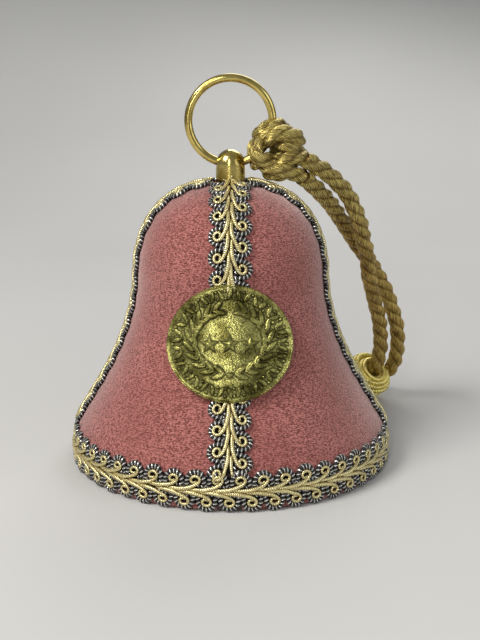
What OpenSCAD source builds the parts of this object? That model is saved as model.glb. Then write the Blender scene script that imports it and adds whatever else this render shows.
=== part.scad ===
// Velvet-covered musical Christmas bell: moulded shell, braid trim, medallion,
// turning top knob with a hanging ring and a doubled cord, and a wind-up comb movement.
// Millimetres, +Z up, origin on the table under the bell's axis, medallion towards -Y.

/* [Bell] */
// Diameter across the velvet at the rim
rim_d = 99; // [90:1:125]
// Height of the velvet's crown over the table
bell_h = 87; // [82:1:110]
// Diameter across the velvet at the waist
waist_d = 57.8; // [54:0.2:70]
// Height of the nearly upright lip behind the hem braid
lip_h = 11; // [8:0.5:14]
// Thickness of the velvet with its glue
velvet_t = 0.8; // [0.5:0.1:1.2]
// Wall of the moulded shell
shell_t = 2; // [1.6:0.1:2.6]
// Width of the gap where two velvet gores meet
seam_gap = 0.4; // [0.2:0.1:0.8]

/* [Braid] */
// Width of the four upright braid strips
gimp_w = 11; // [8:0.5:14]
// Thickness of the braid
gimp_t = 1.6; // [1:0.1:2.2]
// Height of the braid band round the hem
hem_h = 12; // [10:0.5:14]

/* [Medallion] */
// Width across the oval medallion
medal_w = 37; // [28:0.5:42]
// Length of the oval medallion, down the bell
medal_l = 33.5; // [26:0.5:38]
// Thickness of the struck plate
medal_t = 1.2; // [0.8:0.1:2]
// Height of the medallion's centre
medal_z = 44.8; // [40:0.2:52]
// Lean of the medallion back from upright, in degrees
medal_lean = 17; // [10:1:24]

/* [Knob and ring] */
// Diameter of the winding knob
knob_d = 9; // [8:0.2:12]
// Length of the knob's straight side
knob_side = 4.8; // [4.6:0.1:8]
// Wire of the hanging ring
wire_d = 2.5; // [2:0.1:2.8]
// Outer diameter of the hanging ring
ring_d = 28; // [24:0.5:36]
// Diameter of the winding stem
stem_d = 3.4; // [2.6:0.1:3.8]
// Diameter of the crown bush
bush_d = 7; // [6.6:0.1:7.6]

/* [Cord] */
// Diameter of the twisted cord
cord_d = 5.6; // [4.8:0.1:5.6]
// Outer diameter of the bullion end knot
end_knot_d = 16; // [12:0.5:16]
// Length of the bullion end knot along its own axis
end_knot_h = 8; // [5:0.5:8]

/* [Base] */
// Thickness of the base cover
cover_t = 2; // [1.5:0.1:3]
// How far the base cover sits up inside the rim
cover_recess = 1.2; // [0.6:0.1:2]
// Diameter of a sound hole in the base cover
sound_d = 3.5; // [2:0.1:3.8]
// Number of sound holes
sound_count = 8; // [4:1:12]

/* [Movement] */
// Height of the platform's top face, where the movement hangs
platform_z = 32; // [30:0.5:36]
// Thickness of the platform
platform_t = 2; // [1.6:0.1:3]
// Thickness of the movement's bedplate
bed_t = 2; // [1.6:0.1:2.4]
// Outer diameter of the spring barrel
barrel_d = 18; // [15:0.5:18]
// Height of the spring barrel's cup
barrel_h = 10; // [8:0.5:11]
// Teeth on the great wheel
great_n = 48; // [48:12:48]
// Diameter of the music cylinder
drum_d = 10.4; // [9:0.1:10.6]
// Length of the music cylinder
drum_l = 14; // [12:0.5:14]
// Teeth of the comb
comb_n = 18; // [12:1:18]
// Running clearance round an arbor, on the radius
run = 0.05; // [0.02:0.01:0.1]

/* [Hidden] */
$fn = 96;
eps = 0.01;
knob_gap = 0.1;       // air under the turning knob
ring_gap = 0.2;       // air round the ring wire in the knob's eye
body_gap = 0.3;       // air between pieces that move apart

rim_r = rim_d / 2;
lip_r = rim_r - 0.8;
waist_r = waist_d / 2;
waist_z = bell_h * 2 / 3;

function bezier(p, t) = pow(1 - t, 3) * p[0] + 3 * t * pow(1 - t, 2) * p[1]
                      + 3 * t * t * (1 - t) * p[2] + pow(t, 3) * p[3];
flare = [[lip_r, lip_h], [lip_r - 5.6, lip_h + 10], [waist_r + 0.9, waist_z - 20], [waist_r, waist_z]];
shoulder = [[waist_r, waist_z], [waist_r - 0.4, waist_z + 17], [waist_r * 0.69, bell_h], [0, bell_h]];
steps = 10;
outline = concat([[rim_r, 0]], [for (i = [0:steps]) bezier(flare, i / steps)],
                 [for (i = [1:steps]) bezier(shoulder, i / steps)]);
last = len(outline) - 1;
function along(i) = outline[min(i + 1, last)] - outline[max(i - 1, 0)];
function outward(i) = i == 0 ? [1, 0] : i == last ? [0, 1]
                    : let (d = along(i)) [d[1], -d[0]] / norm(d);
// The bell's outline moved out by d along its own normals
function offset_line(d) = [for (i = [0:last]) outline[i] + d * outward(i)];
function back(list) = [for (i = [len(list) - 1:-1:0]) list[i]];
// Inner radius of the shell at a height on the flare or waist
function inner_r(z) = lookup(z, [for (p = offset_line(-velvet_t - shell_t)) [p[1], p[0]]]);
function braid_r(z) = lookup(z, [for (p = offset_line(gimp_t)) [p[1], p[0]]]);

knob_z = bell_h + 0.6 + knob_gap;              // underside of the knob
knob_dome_z = knob_z + knob_side;
knob_top = knob_dome_z + knob_d / 2;
ring_mean = (ring_d - wire_d) / 2;
eye_sag = ring_mean - sqrt(pow(ring_mean, 2) - pow(knob_d / 2, 2));
eye_d = wire_d + eye_sag + 2 * ring_gap;       // the knob's cross hole
eye_z = knob_dome_z + 0.6;
ring_z = eye_z - eye_sag / 2 + ring_mean;      // centre of the ring
stem_top = eye_z - eye_d / 2 - 0.6;
cord_face_x = 21.9;                            // right face of the knot, where both strands leave

// Centre lines of the two strands from the knot down to the end knot
front_route = [[22.2, 0, 94.5], [25, 2, 92.5], [29, 5, 90], [33, 8, 86.5], [37, 11, 82], [40, 14, 76.5],
    [42.5, 18, 70.5], [44, 22, 65], [46, 26, 59], [47, 30.5, 52.5], [49, 35.5, 46], [51, 40.5, 39.5],
    [53, 44, 33], [54, 47, 27], [54.5, 49, 21.5], [54, 51, 16], [52.8, 52.5, 11.5]];
rear_route = [[22.2, 1.5, 88.5], [25, 5, 86], [28.5, 9, 82.5], [32, 14, 78.5], [35.5, 20, 73.5],
    [39.5, 26, 67.5], [43.5, 32, 61.5], [48, 37, 55.5], [52, 41, 49], [55.5, 44, 42.5],
    [58, 46.5, 36], [60, 48.5, 30], [61, 50.5, 23], [61, 53, 17], [60, 55.5, 12], [57.5, 57.5, 8.5]];
end_knot_at = [51.5, 54, 8.8];
end_knot_lean = 45;   // lean of the end knot's axis from upright
end_knot_turn = -50;  // heading of the end knot's axis

bed_z = platform_z - platform_t - bed_t;       // underside of the bedplate
bed_low_x = -14;
bed_high_x = 31.5;
bed_half_y = 15;
stem_r = stem_d / 2;
post_r = 28.5;                                 // circle of the platform's posts and screws
screw_d = 2.4;
head_d = 5;
head_t = 1.2;
platform_r = inner_r(platform_z) - 0.1;
bed_screws = [[-11, 11], [-11, -11], [16, 12], [9.5, -12]];
cover_r = min(inner_r(cover_recess), inner_r(cover_recess + cover_t)) - 0.1;
cover_post_r = cover_r - 5;
sound_ring_r = cover_r * 0.55;

great_t = 1.2;
great_tip = 10.8;
great_root = 9.3;
ratchet_t = 1.2;
ratchet_n = 12;
ratchet_tip = 5.2;
ratchet_root = 4.2;
ratchet_z = bed_z - 0.4 - ratchet_t;
great_z = ratchet_z - 1.2 - great_t;           // underside of the great wheel
barrel_z = great_z - barrel_h;
barrel_wall = 0.8;
pinion_n = 12;
pinion_tip = 3.1;
pinion_root = 1.9;
drum_r = drum_d / 2;
drum_z = great_z + 0.6 - pinion_tip;           // axis of the music cylinder
drum_x = 12.5;
arbor_r = 0.8;
pin_h = 0.4;
wheel_x = drum_x + drum_l + 0.3;
wheel_n = 48;
wheel_tip = 5.5;
wheel_root = 4.9;
train_t = 0.8;
gov_n = 12;
gov_y = 6.7;                                   // governor arbor, level with the cylinder's
gov_tip = 1.65;
gov_root = 1.0;
gov_arbor_r = 0.5;
worm_wheel_n = 20;
worm_wheel_x = wheel_x + train_t + 0.5;
worm_tip = 2.6;
worm_root = 2.1;
worm_r = 0.75;
worm_y = gov_y + worm_tip + worm_r + 0.15;
worm_pitch = 2 * PI * worm_tip / worm_wheel_n;
fan_low = drum_z - 9;
bearing_x = worm_wheel_x + train_t + 0.5;
bearing_t = 1.2;
click_tip = [-4.91, -0.95];
click_pivot = [-9.3, 3.7];
comb_gap = 0.3;
comb_root_y = -bed_half_y;

module outline_band(low, high) {
    rotate_extrude() polygon(concat(offset_line(high), back(offset_line(low))));
}

// Spur wheel with straight-flanked teeth, a tooth pointing along +X
module spur(n, tip_r, root_r, tip_w, root_w, h) {
    tip_a = asin(tip_w / 2 / tip_r);
    root_a = asin(root_w / 2 / root_r);
    linear_extrude(h) polygon([for (i = [0:n - 1]) each [
        root_r * [cos(360 * i / n - root_a), sin(360 * i / n - root_a)],
        tip_r * [cos(360 * i / n - tip_a), sin(360 * i / n - tip_a)],
        tip_r * [cos(360 * i / n + tip_a), sin(360 * i / n + tip_a)],
        root_r * [cos(360 * i / n + root_a), sin(360 * i / n + root_a)]]]);
}

module along_x(x, y, z) {
    translate([x, y, z]) rotate([0, 90, 0]) children();
}

module pan_screw(length, d) {
    cylinder(r = d / 2, h = length);
    difference() {
        translate([0, 0, -head_t]) cylinder(r = d * 1.04, h = head_t);
        translate([-d / 2, -0.3, -head_t - eps]) cube([d, 0.6, 0.6]);
    }
}

// Tube swept along a route, closed at both ends
module cord_tube(route, d, sides = 8) {
    n = len(route);
    function heading(i) = let (v = route[min(i + 1, n - 1)] - route[max(i - 1, 0)]) v / norm(v);
    function side_of(i) = let (s = cross(heading(i), [0, 0, 1])) s / norm(s);
    ring_points = [for (i = [0:n - 1]) let (s = side_of(i), u = cross(s, heading(i)))
        for (k = [0:sides - 1]) route[i] + d / 2 * (cos(360 * k / sides) * s + sin(360 * k / sides) * u)];
    skin = [for (i = [0:n - 2]) for (k = [0:sides - 1]) let (m = (k + 1) % sides, a = i * sides) each
        [[a + k, a + sides + k, a + sides + m], [a + k, a + sides + m, a + m]]];
    polyhedron(ring_points, concat(skin, [[for (k = [0:sides - 1]) k]],
        [[for (k = [sides - 1:-1:0]) (n - 1) * sides + k]]), 2);
}

module bell_shell() color("gainsboro") {
    difference() {
        union() {
            outline_band(-velvet_t - shell_t, -velvet_t);
            intersection() {
                for (a = [45:90:315]) rotate(a) translate([post_r, 0, platform_z]) cylinder(r = 3, h = bell_h / 3);
                rotate_extrude() polygon(concat([[0, 0]], offset_line(-velvet_t - shell_t / 2)));
            }
            intersection() {
                for (a = [60:120:300]) rotate(a) translate([cover_post_r, 0, cover_recess + cover_t])
                    cylinder(r = 3, h = lip_h * 2);
                rotate_extrude() polygon(concat([[0, 0]], offset_line(-velvet_t - shell_t / 2)));
            }
        }
        translate([0, 0, bell_h - 20]) cylinder(r = bush_d / 2, h = 40);
        translate([0, 0, bell_h - 20]) cylinder(r = bush_d / 2 + 2.5, h = 20 - velvet_t - shell_t - 0.2);
        for (a = [45:90:315]) rotate(a) translate([post_r, 0, platform_z - eps]) cylinder(r = screw_d / 2, h = 6.2);
        for (a = [60:120:300]) rotate(a) translate([cover_post_r, 0, cover_recess]) cylinder(r = screw_d / 2, h = 8.2);
    }
}

// One of the four velvet gores, between two braid strips
module velvet_gore(k) color("rosybrown") {
    difference() {
        intersection() {
            outline_band(-velvet_t, 0);
            rotate(90 * k) translate([seam_gap / 2, seam_gap / 2, 0.4]) cube([rim_d, rim_d, bell_h * 2]);
        }
        translate([0, 0, bell_h - 20]) cylinder(r = bush_d / 2, h = 40);
    }
}

// One upright braid strip; the side strips butt against the front and back ones at the crown
module gimp_strip(k) color("goldenrod") {
    start = (k % 2 == 0) ? knob_d / 2 + 0.4 : gimp_w / 2 + 0.2;
    intersection() {
        outline_band(0, gimp_t);
        rotate(90 * k - 90) translate([start, -gimp_w / 2, hem_h]) cube([rim_d, gimp_w, bell_h * 2]);
    }
}

module hem_gimp() color("goldenrod") {
    intersection() {
        outline_band(0, gimp_t);
        translate([0, 0, 0.3]) cylinder(r = rim_d, h = hem_h - 0.3);
    }
}

// Oval plate bent to the bell, leaning back, its back seated on the front braid
module medallion() color("darkgoldenrod") {
    seat_y = braid_r(medal_z) / cos(medal_lean);
    bend_r = braid_r(medal_z) + medal_t + 1;
    difference() {
        translate([0, -seat_y, medal_z]) rotate([-medal_lean, 0, 0]) intersection() {
            rotate([90, 0, 0]) linear_extrude(30, center = true)
                polygon([for (i = [0:59]) [medal_w / 2 * cos(6 * i), medal_l / 2 * sin(6 * i)]]);
            translate([0, bend_r - medal_t, -medal_l]) difference() {
                cylinder(r = bend_r, h = 2 * medal_l);
                translate([0, 0, -1]) cylinder(r = bend_r - medal_t, h = 2 * medal_l + 2);
                translate([-bend_r, 0, -1]) cube([2 * bend_r, 2 * bend_r, 2 * medal_l + 2]);
            }
        }
        rotate_extrude() polygon(concat([[0, 0]], offset_line(0)));
        intersection() {
            rotate_extrude() polygon(concat([[0, 0]], offset_line(gimp_t)));
            translate([-gimp_w / 2, -rim_d, 0]) cube([gimp_w, rim_d, bell_h]);
        }
    }
}

module crown_bush() color("gold") {
    difference() {
        union() {
            translate([0, 0, bell_h - 8]) cylinder(r = bush_d / 2, h = 8);
            translate([0, 0, bell_h]) cylinder(r = knob_d / 2 - 0.4, h = 0.6);
        }
        translate([0, 0, bell_h - 9]) cylinder(r = stem_r + run, h = 12);
    }
}

module crown_nut() color("silver") {
    translate([0, 0, bell_h - velvet_t - shell_t - 2.2]) difference() {
        cylinder(r = bush_d / 2 + 2, h = 2, $fn = 6);
        translate([0, 0, -1]) cylinder(r = bush_d / 2, h = 4);
    }
}

module winding_knob() color("gold") {
    difference() {
        union() {
            translate([0, 0, knob_z]) cylinder(r = knob_d / 2, h = knob_side);
            translate([0, 0, knob_dome_z]) sphere(r = knob_d / 2);
        }
        translate([0, 0, knob_z - knob_d]) cylinder(r = knob_d, h = knob_d);
        translate([0, 0, knob_z - 1]) cylinder(r = stem_r, h = stem_top - knob_z + 1);
        along_x(-knob_d, 0, eye_z) cylinder(r = eye_d / 2, h = 2 * knob_d);
    }
}

module winding_stem() color("silver") {
    translate([0, 0, barrel_z - 1]) cylinder(r = stem_r, h = stem_top - barrel_z + 1);
    translate([0, 0, barrel_z + barrel_wall + 0.4]) cylinder(r = stem_r + 1.2, h = barrel_h - barrel_wall - 0.8);
}

module hanging_ring() color("gold") {
    translate([0, 0, ring_z]) rotate([90, 0, 0]) rotate_extrude()
        translate([ring_mean, 0]) circle(r = wire_d / 2);
}

// Outer shape of the knot that ties the doubled cord round the ring
module cord_knot() color("goldenrod") {
    difference() {
        intersection() {
            hull() {
                for (p = [[11.5, -1.5, 8.6], [9.9, -2.5, 3.4], [17.5, 0, 4.5], [14.5, -0.5, -2.3]])
                    translate([p[0], p[1], eye_z + p[2]]) sphere(r = 4.6, $fn = 32);
            }
            translate([knob_d / 2 + 0.4, -20, 0]) cube([cord_face_x - knob_d / 2 - 0.4, 40, 200]);
        }
        translate([0, 0, ring_z]) rotate([90, 0, 0]) rotate_extrude()
            translate([ring_mean, 0]) circle(r = wire_d / 2);
    }
}

// Everything left of the strands' cut ends, so that the knot can swing past them with the ring
module knot_side() {
    translate([cord_face_x - 20, -40, eye_z - 40]) cube([20.2, 80, 80]);
}

module cord_front() color("darkgoldenrod") difference() {
    cord_tube(front_route, cord_d);
    knot_side();
}

module cord_rear() color("darkgoldenrod") difference() {
    cord_tube(rear_route, cord_d);
    knot_side();
}

module cord_end_knot() color("gold") {
    translate(end_knot_at) rotate([0, 0, end_knot_turn]) rotate([0, end_knot_lean, 0]) rotate_extrude()
        polygon([[0, -end_knot_h * 0.4], [end_knot_d * 0.31, -end_knot_h / 2], [end_knot_d * 0.45, -end_knot_h * 0.3],
                 [end_knot_d / 2, 0], [end_knot_d * 0.45, end_knot_h * 0.3], [end_knot_d * 0.31, end_knot_h / 2],
                 [end_knot_d * 0.24, end_knot_h * 0.35], [0, end_knot_h * 0.1]]);
}

module base_cover() color("dimgray") {
    translate([0, 0, cover_recess]) difference() {
        cylinder(r = cover_r, h = cover_t);
        for (i = [1:sound_count]) rotate(360 * i / sound_count) translate([sound_ring_r, 0, -1])
            cylinder(r = sound_d / 2, h = cover_t + 2);
        for (a = [60:120:300]) rotate(a) translate([cover_post_r, 0, -1]) {
            cylinder(r = screw_d / 2, h = cover_t + 2);
            cylinder(r = screw_d * 1.04, h = head_t + 1);
        }
    }
}

module base_cover_screws() color("silver") {
    for (a = [60:120:300]) rotate(a) translate([cover_post_r, 0, cover_recess + head_t]) pan_screw(6, screw_d);
}

module movement_platform() color("burlywood") {
    translate([0, 0, platform_z - platform_t]) difference() {
        cylinder(r = platform_r, h = platform_t);
        translate([0, 0, -1]) cylinder(r = stem_r + 1.5, h = platform_t + 2);
        for (a = [45:90:315]) rotate(a) translate([post_r, 0, -1]) cylinder(r = screw_d / 2, h = platform_t + 2);
        for (p = bed_screws) translate([p[0], p[1], -1]) cylinder(r = screw_d / 2, h = platform_t + 2);
    }
}

module platform_screws() color("silver") {
    for (a = [45:90:315]) rotate(a) translate([post_r, 0, platform_z - platform_t]) pan_screw(7, screw_d);
}

module movement_bedplate() color("silver") {
    translate([0, 0, bed_z]) difference() {
        linear_extrude(bed_t) polygon([[bed_low_x, -bed_half_y], [bed_high_x - 5, -bed_half_y],
            [bed_high_x, -bed_half_y + 4], [bed_high_x, bed_half_y - 4], [bed_high_x - 5, bed_half_y],
            [bed_low_x, bed_half_y]]);
        translate([0, 0, -1]) cylinder(r = stem_r + run, h = bed_t + 2);
        for (p = bed_screws) translate([p[0], p[1], -1]) cylinder(r = screw_d / 2, h = bed_t + 2);
    }
}

module movement_screws() color("silver") {
    for (p = bed_screws) translate([p[0], p[1], bed_z]) pan_screw(platform_t + bed_t, screw_d);
}

module spring_barrel() color("khaki") {
    translate([0, 0, barrel_z]) difference() {
        cylinder(r = barrel_d / 2, h = barrel_h);
        translate([0, 0, barrel_wall]) cylinder(r = barrel_d / 2 - barrel_wall, h = barrel_h);
        translate([0, 0, -1]) cylinder(r = stem_r + run, h = barrel_h);
    }
}

module great_wheel() color("khaki") {
    translate([0, 0, great_z]) difference() {
        rotate(180 / great_n) spur(great_n, great_tip, great_root, 0.34, 0.6, great_t);
        translate([0, 0, -1]) cylinder(r = stem_r + run, h = great_t + 2);
    }
}

// Flat spiral of ribbon between the arbor's core and the barrel wall
module mainspring() color("slategray") {
    low_r = stem_r + 1.5;
    high_r = barrel_d / 2 - barrel_wall - 0.35;
    step_a = 15;
    count = 7 * 360 / step_a;
    inside = [for (i = [0:count]) (low_r + (high_r - low_r) * i / count) * [cos(i * step_a), sin(i * step_a)]];
    translate([0, 0, barrel_z + barrel_wall + 0.6]) linear_extrude(barrel_h - barrel_wall - 1.2)
        polygon(concat(inside, [for (p = back(inside)) p * (1 + 0.3 / norm(p))]));
}

module ratchet_wheel() color("silver") {
    step_a = 360 / ratchet_n;
    first_a = 200;
    translate([0, 0, ratchet_z]) difference() {
        linear_extrude(ratchet_t) polygon([for (i = [0:ratchet_n - 1]) let (a = first_a + i * step_a) each
            [ratchet_root * [cos(a - 0.5), sin(a - 0.5)], ratchet_tip * [cos(a), sin(a)]]]);
        translate([0, 0, -1]) cylinder(r = stem_r, h = ratchet_t + 2);
    }
}

module click() color("silver") {
    translate([0, 0, ratchet_z + 0.1]) difference() {
        linear_extrude(ratchet_t - 0.2) hull() {
            translate(click_tip) circle(r = 0.35, $fn = 32);
            translate(click_pivot) circle(r = 1.2, $fn = 32);
        }
        translate([click_pivot[0], click_pivot[1], -1]) cylinder(r = 0.6 + run, h = 4);
    }
}

module click_pin() color("silver") {
    translate([click_pivot[0], click_pivot[1], ratchet_z - 0.8]) {
        cylinder(r = 0.6, h = bed_z - ratchet_z + 0.8);
        cylinder(r = 1.1, h = 0.7);
    }
}

// Leaf that presses the click into the ratchet, its foot folded against the bedplate
module click_spring() color("silver") {
    foot_z = bed_z - ratchet_z;
    translate([-12.2, -6, ratchet_z]) rotate(58) {
        cube([7.3, 0.3, 1]);
        cube([3, 0.3, foot_z]);
        translate([0, 0, foot_z - 0.5]) cube([3, 2.5, 0.5]);
    }
}

module music_cylinder() color("gold") {
    difference() {
        union() {
            along_x(drum_x, 0, drum_z) cylinder(r = drum_r, h = drum_l);
            for (i = [0:35]) translate([drum_x + 0.6 + (drum_l - 1.2) * (i % comb_n) / (comb_n - 1), 0, drum_z])
                rotate([25 + i * 137.5, 0, 0]) translate([0, 0, drum_r - 0.3]) cylinder(r = 0.18, h = 0.3 + pin_h);
        }
        along_x(drum_x - 1, 0, drum_z) cylinder(r = arbor_r, h = drum_l + 2);
    }
}

module cylinder_arbor() color("silver") {
    along_x(great_root + 0.1, 0, drum_z) cylinder(r = arbor_r, h = bearing_x + bearing_t + 0.5 - great_root);
}

module cylinder_pinion() color("gold") {
    along_x(great_tip - train_t, 0, drum_z) difference() {
        rotate(180) spur(pinion_n, pinion_tip, pinion_root, 0.3, 0.5, train_t);
        translate([0, 0, -1]) cylinder(r = arbor_r, h = train_t + 2);
    }
}

module cylinder_wheel() color("gold") {
    along_x(wheel_x, 0, drum_z) difference() {
        rotate(90) spur(wheel_n, wheel_tip, wheel_root, 0.22, 0.36, train_t);
        translate([0, 0, -1]) cylinder(r = arbor_r, h = train_t + 2);
    }
}

module inner_bearing() color("khaki") {
    x = great_tip + 0.3;
    difference() {
        translate([x, -2.5, drum_z - 2.5]) cube([drum_x - x - 0.2, 5, bed_z - drum_z + 2.5]);
        along_x(x - 1, 0, drum_z) cylinder(r = arbor_r + run, h = 4);
    }
}

module outer_bearing() color("khaki") {
    difference() {
        translate([bearing_x, -2.5, drum_z - 2.5]) cube([bearing_t, gov_y + 4.3, bed_z - drum_z + 2.5]);
        along_x(bearing_x - 1, 0, drum_z) cylinder(r = arbor_r + run, h = bearing_t + 2);
        along_x(bearing_x - 1, gov_y, drum_z) cylinder(r = gov_arbor_r + run, h = bearing_t + 2);
    }
}

// The train's second pair: governor pinion cut on its arbor, with the inner pivot in the fan bracket
module governor_arbor() color("gold") {
    along_x(wheel_x - 2.4, gov_y, drum_z) cylinder(r = gov_arbor_r, h = bearing_x + bearing_t + 2.6 - wheel_x);
    along_x(wheel_x, gov_y, drum_z) rotate(90 + 180 / gov_n)
        spur(gov_n, gov_tip, gov_root, 0.22, 0.34, train_t);
}

module worm_wheel() color("gold") {
    along_x(worm_wheel_x, gov_y, drum_z) difference() {
        rotate(90 + 180 / worm_wheel_n) spur(worm_wheel_n, worm_tip, worm_root, 0.2, 0.34, train_t);
        translate([0, 0, -1]) cylinder(r = gov_arbor_r, h = train_t + 2);
    }
}

// Upright worm with the two blades of the air brake under it
module governor_fan() color("gold") {
    worm_x = worm_wheel_x + train_t / 2;
    translate([worm_x, worm_y, 0]) {
        translate([0, 0, fan_low]) cylinder(r = 0.4, h = drum_z + 4 - fan_low);
        translate([0, 0, drum_z - 2.5 * worm_pitch])
            linear_extrude(5 * worm_pitch, twist = -5 * 360, slices = 40, $fn = 8)
                translate([0.2, 0]) circle(r = worm_r - 0.2);
        translate([-2.1, -0.2, fan_low + 1]) cube([4.2, 0.4, 3]);
    }
}

// Bracket that holds both ends of the fan's staff and the governor arbor's inner pivot
module fan_bracket() color("khaki") {
    worm_x = worm_wheel_x + train_t / 2;
    difference() {
        union() {
            translate([wheel_x - 2.4, gov_y - 0.7, drum_z - 1.5]) cube([1.6, 5, bed_z - drum_z + 1.5]);
            translate([wheel_x - 2.4, worm_y - 1.5, drum_z + 3.2]) cube([6.6, 3, 1]);
            translate([wheel_x - 2.4, worm_y + 1.5, fan_low - 0.8]) cube([1.6, 1.2, bed_z - fan_low + 0.8]);
            translate([wheel_x - 2.4, worm_y - 1.5, fan_low - 0.8]) cube([6.6, 4.2, 1]);
        }
        along_x(wheel_x - 3, gov_y, drum_z) cylinder(r = gov_arbor_r + run, h = 4);
        translate([worm_x, worm_y, fan_low]) cylinder(r = 0.4 + run, h = 40);
    }
}

module comb_block() color("khaki") {
    difference() {
        translate([drum_x, comb_root_y, drum_z + 0.5]) cube([drum_l, 6, bed_z - drum_z - 0.5]);
        for (x = [0.2, 0.8]) translate([drum_x + drum_l * x, comb_root_y + 3, drum_z]) cylinder(r = 0.8, h = 5);
    }
}

// Steel comb under its block, the teeth reaching to just clear of the cylinder's pins
module comb() color("lightsteelblue") {
    pitch = drum_l / comb_n;
    tip_y = -drum_r - pin_h - comb_gap;
    difference() {
        translate([drum_x, comb_root_y, drum_z - 0.5]) cube([drum_l, tip_y - comb_root_y, 1]);
        for (i = [1:comb_n - 1]) translate([drum_x + i * pitch - 0.12, comb_root_y + 5.5, drum_z - 1])
            cube([0.24, 20, 2]);
        translate([drum_x - 1, comb_root_y + 6, drum_z]) cube([drum_l + 2, 20, 2]);
        for (x = [0.2, 0.8]) translate([drum_x + drum_l * x, comb_root_y + 3, drum_z - 1]) cylinder(r = 0.8, h = 5);
    }
}

module comb_screws() color("silver") {
    for (x = [0.2, 0.8]) translate([drum_x + drum_l * x, comb_root_y + 3, drum_z - 0.5]) pan_screw(4, 1.6);
}

bell_shell();
velvet_gore(0);  // velvet_gore_1
velvet_gore(1);  // velvet_gore_2
velvet_gore(2);  // velvet_gore_3
velvet_gore(3);  // velvet_gore_4
gimp_strip(0);  // gimp_front
gimp_strip(1);  // gimp_right
gimp_strip(2);  // gimp_back
gimp_strip(3);  // gimp_left
hem_gimp();
medallion();
crown_bush();
crown_nut();
winding_knob();
winding_stem();
hanging_ring();
cord_knot();
cord_front();
cord_rear();
cord_end_knot();
base_cover();
base_cover_screws();
movement_platform();
platform_screws();
movement_bedplate();
movement_screws();
spring_barrel();
great_wheel();
mainspring();
ratchet_wheel();
click();
click_pin();
click_spring();
music_cylinder();
cylinder_arbor();
cylinder_pinion();
cylinder_wheel();
inner_bearing();
outer_bearing();
comb_block();
comb();
comb_screws();
governor_arbor();
worm_wheel();
governor_fan();
fan_bracket();
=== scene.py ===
# %% [markdown]
# # A velvet-covered musical bell
# This lesson dresses a bell-shaped Christmas ornament that was drawn in CAD: a moulded shell under
# dusty-rose velvet, metal-thread braid, a struck brass medallion, a turned knob that winds the music
# movement, a wire ring, and a doubled gold cord with its knots. The CAD model is loaded first and stays
# where it is.

# %% Load the frame
import math

import bpy
import numpy as np
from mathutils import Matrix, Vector


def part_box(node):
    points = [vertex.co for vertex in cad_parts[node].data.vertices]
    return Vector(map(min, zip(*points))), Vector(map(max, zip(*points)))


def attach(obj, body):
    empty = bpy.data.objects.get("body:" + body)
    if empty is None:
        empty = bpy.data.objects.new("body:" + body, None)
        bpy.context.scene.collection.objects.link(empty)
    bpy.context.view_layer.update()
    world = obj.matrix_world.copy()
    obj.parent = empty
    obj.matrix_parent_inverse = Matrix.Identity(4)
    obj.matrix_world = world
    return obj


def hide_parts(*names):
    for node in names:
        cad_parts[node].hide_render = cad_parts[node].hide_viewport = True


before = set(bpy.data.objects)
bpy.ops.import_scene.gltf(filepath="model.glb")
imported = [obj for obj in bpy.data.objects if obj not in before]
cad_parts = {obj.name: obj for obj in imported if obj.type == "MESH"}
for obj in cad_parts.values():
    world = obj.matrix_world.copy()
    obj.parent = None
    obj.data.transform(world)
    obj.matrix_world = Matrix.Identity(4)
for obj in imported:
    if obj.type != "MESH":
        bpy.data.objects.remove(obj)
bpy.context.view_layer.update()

# %% [markdown]
# ## The camera
# The bell is seen a little from above, from about a third of a metre. A long lens at that distance gives
# its gentle perspective. The sensor's long side is upright here, so Blender's automatic fit measures the
# lens along the height.

# %% Camera
camera = bpy.data.objects.new("camera", bpy.data.cameras.new("camera"))
bpy.context.scene.collection.objects.link(camera)
camera.location = (0.0029, -0.3231, 0.1225)
camera.rotation_euler = (math.radians(76.24), 0, 0)
camera.data.sensor_fit = "AUTO"
camera.data.sensor_width = 36
camera.data.lens = 59.06
bpy.context.scene.camera = camera
bpy.context.scene.view_settings.view_transform = "Standard"
print("camera at", tuple(round(x, 3) for x in camera.location))

# %% [markdown]
# ## Tools for everything that is a cord
# Cords, braids and bullion wire are all one thing to a modeller: a small outline carried along a line. The
# first helper runs a smooth curve through a few chosen points. The second carries the outline along it
# without letting it spin, and keeps a UV map whose U goes round the cord and whose V is the way along it,
# for thread patterns.

# %% Smooth lines through chosen points
MM = 0.001


def runs(points):
    """How far along their line each of the points is."""
    return np.r_[0, np.cumsum(np.linalg.norm(np.diff(points, axis=0), axis=1))]


def smooth(points, step, closed=False):
    """Points every step along a Catmull-Rom curve through the given ones, in their own unit."""
    p = np.array(points, float)
    p = np.vstack([p[-1:], p, p[:2]]) if closed else np.vstack([2 * p[:1] - p[1:2], p, 2 * p[-1:] - p[-2:-1]])
    t = np.linspace(0, 1, 24, endpoint=False)[:, None]
    dense = [0.5 * (2 * b + (c - a) * t + (2 * a - 5 * b + 4 * c - d) * t**2 + (3 * b - a - 3 * c + d) * t**3)
             for a, b, c, d in zip(p, p[1:], p[2:], p[3:])]
    dense = np.vstack(dense + [p[1:2] if closed else p[-2:-1]])
    run = runs(dense)
    at = np.linspace(0, run[-1], max(4, round(run[-1] / step) + 1))
    out = np.column_stack([np.interp(at, run, dense[:, k]) for k in range(3)])
    return out[:-1] if closed else out


def length_of(points):
    return float(np.linalg.norm(np.diff(points, axis=0), axis=1).sum())


def whole_repeats(ring, wanted):
    """The length nearest to the wanted one that fits a whole number of times round a closed line."""
    whole = length_of(ring) + np.linalg.norm(ring[0] - ring[-1])
    return whole / max(1, round(whole / wanted))


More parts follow.
